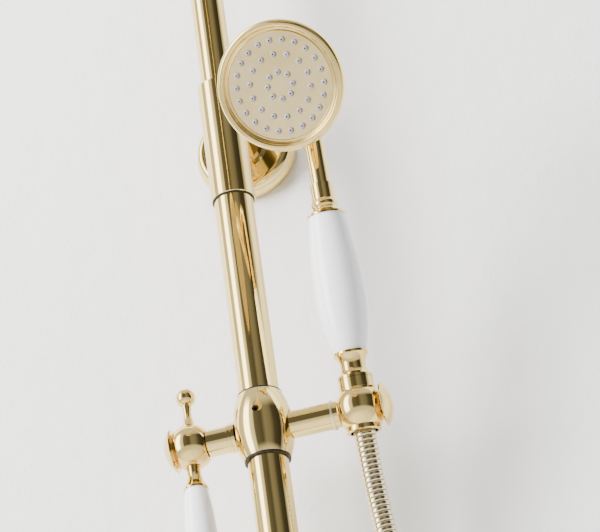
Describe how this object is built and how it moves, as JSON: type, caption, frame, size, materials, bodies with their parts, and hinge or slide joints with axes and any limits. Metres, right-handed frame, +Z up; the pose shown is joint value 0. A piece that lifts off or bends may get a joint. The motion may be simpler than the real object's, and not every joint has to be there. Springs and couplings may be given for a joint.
{
  "type": "rainfall shower column",
  "caption": "Wall-mounted shower column: bracketed riser with swan neck and rain rose, sliding handset holder, porcelain-handled handset, metal hose and two-lever bar valve.",
  "frame": {"origin": "centre of the upper wall bracket's plate, on the wall plane", "axes": "+Z up along the riser, +Y into the wall, +X to the right of a person who faces the column"},
  "size_m": [0.2778, 0.5936, 1.7328],
  "materials": {
    "polished_brass": "polished champagne gold",
    "raw_brass": "machined",
    "steel": "machined",
    "nylon": "matt black",
    "friction_washer": "satin",
    "rubber": "matt black",
    "nozzle_rubber": "matt grey",
    "porcelain": "glazed white",
    "spiral_hose": "polished spiral"
  },
  "bodies": {
    "column": {"wall_flange": "polished_brass", "bracket_plate": "raw_brass", "bracket_screws": "steel", "bracket_post": "polished_brass", "post_grub_screw": "steel", "bracket_sleeve": "polished_brass", "sleeve_bush": "nylon", "lower_riser": "polished_brass", "valve_body": "polished_brass", "inlet_unions": "raw_brass", "inlet_flanges": "polished_brass", "union_nuts": "polished_brass", "inlet_filters": "rubber", "riser_nut": "polished_brass", "outlet_nipple": "raw_brass", "hose_nut": "polished_brass", "flow_cartridge": "polished_brass", "heat_cartridge": "polished_brass", "shower_hose": "spiral_hose"},
    "slip_plug_body": {"slip_plug": "raw_brass", "slip_rings": "rubber"},
    "swan_neck_body": {"swan_neck": "polished_brass", "ball_nipple": "polished_brass"},
    "rose_ring_body": {"rose_friction_ring": "nylon"},
    "rose_body": {"rose_nut": "polished_brass", "rose_shell": "polished_brass", "rose_face": "polished_brass", "rose_nozzles": "nozzle_rubber"},
    "liner_body": {"slider_liner": "nylon"},
    "slider_body": {"slider_barrel": "polished_brass", "guide_screw": "steel", "lock_gland": "polished_brass", "holder_arm": "polished_brass", "holder_washer": "friction_washer", "pivot_screw": "steel"},
    "lock_pad_body": {"lock_pad": "raw_brass"},
    "lock_lever_body": {"lock_spindle": "steel", "lever_hub": "polished_brass", "lever_cap": "polished_brass", "lever_finial": "polished_brass", "lever_ferrule": "polished_brass", "lever_rod": "steel", "lever_porcelain": "porcelain"},
    "holder_body": {"holder_ball": "polished_brass"},
    "knob_body": {"tension_knob": "polished_brass"},
    "hose_end_body": {"hose_tail": "raw_brass"},
    "handset_body": {"cone_nut": "polished_brass", "handset_cup": "polished_brass", "handset_porcelain": "porcelain", "handset_collar": "polished_brass", "handset_neck": "polished_brass", "tie_tube": "raw_brass", "handset_shell": "polished_brass", "handset_rim": "polished_brass", "handset_face": "polished_brass", "handset_nozzles": "nozzle_rubber"},
    "flow_handle_body": {"flow_handle": "polished_brass", "flow_porcelain": "porcelain"},
    "heat_handle_body": {"heat_handle": "polished_brass", "heat_porcelain": "porcelain"}
  },
  "joints": [
    {"name": "riser_extend", "type": "slide", "parent": "column", "child": "slip_plug_body", "axis": [0, 0, 1], "range_m": [-0.08, 0.12]},
    {"name": "arm_swivel", "type": "hinge", "parent": "slip_plug_body", "child": "swan_neck_body", "pos_m": [0, -0.0695, 0], "axis": [0, 0, 1], "range_deg": [-60, 60]},
    {"name": "rose_spin", "type": "hinge", "parent": "swan_neck_body", "child": "rose_ring_body", "pos_m": [0, -0.4695, 0.142], "axis": [0, 0, 1], "continuous": true},
    {"name": "rose_tilt", "type": "hinge", "parent": "rose_ring_body", "child": "rose_body", "pos_m": [0, -0.4695, 0.142], "axis": [1, 0, 0], "range_deg": [-15, 15]},
    {"name": "slider_slide", "type": "slide", "parent": "column", "child": "liner_body", "axis": [0, 0, 1], "range_m": [-0.55, 0.08], "deforming": ["shower_hose"]},
    {"name": "slider_turn", "type": "hinge", "parent": "liner_body", "child": "slider_body", "pos_m": [0, -0.0695, -0.238], "axis": [0, 0, 1], "range_deg": [-30, 30]},
    {"name": "lock_travel", "type": "slide", "parent": "slider_body", "child": "lock_pad_body", "axis": [-1, 0, 0], "range_m": [0, 0.0008]},
    {"name": "lock_turn", "type": "hinge", "parent": "lock_pad_body", "child": "lock_lever_body", "pos_m": [-0.0459, -0.0695, -0.238], "axis": [-1, 0, 0], "range_deg": [0, 180]},
    {"name": "holder_tilt", "type": "hinge", "parent": "slider_body", "child": "holder_body", "pos_m": [0.0602, -0.0695, -0.238], "axis": [1, 0, 0], "range_deg": [-6, 30]},
    {"name": "knob_turn", "type": "hinge", "parent": "holder_body", "child": "knob_body", "pos_m": [0.0602, -0.0695, -0.238], "axis": [1, 0, 0], "range_deg": [-180, 180]},
    {"name": "handset_lift", "type": "slide", "parent": "holder_body", "child": "hose_end_body", "axis": [0.0157, -0.2419, 0.9702], "range_m": [0, 0.06]},
    {"name": "handset_turn", "type": "hinge", "parent": "hose_end_body", "child": "handset_body", "pos_m": [0.0602, -0.0695, -0.238], "axis": [0.0157, -0.2419, 0.9702], "range_deg": [-45, 60]},
    {"name": "flow_turn", "type": "hinge", "parent": "column", "child": "flow_handle_body", "pos_m": [-0.121, -0.0695, -1.045], "axis": [1, 0, 0], "range_deg": [-90, 90]},
    {"name": "heat_turn", "type": "hinge", "parent": "column", "child": "heat_handle_body", "pos_m": [0.121, -0.0695, -1.045], "axis": [1, 0, 0], "range_deg": [-80, 80]}
  ],
  "couplings": [
    {"joint": "lock_travel", "follows": "lock_turn", "m_per_rad": 0.000239}
  ]
}
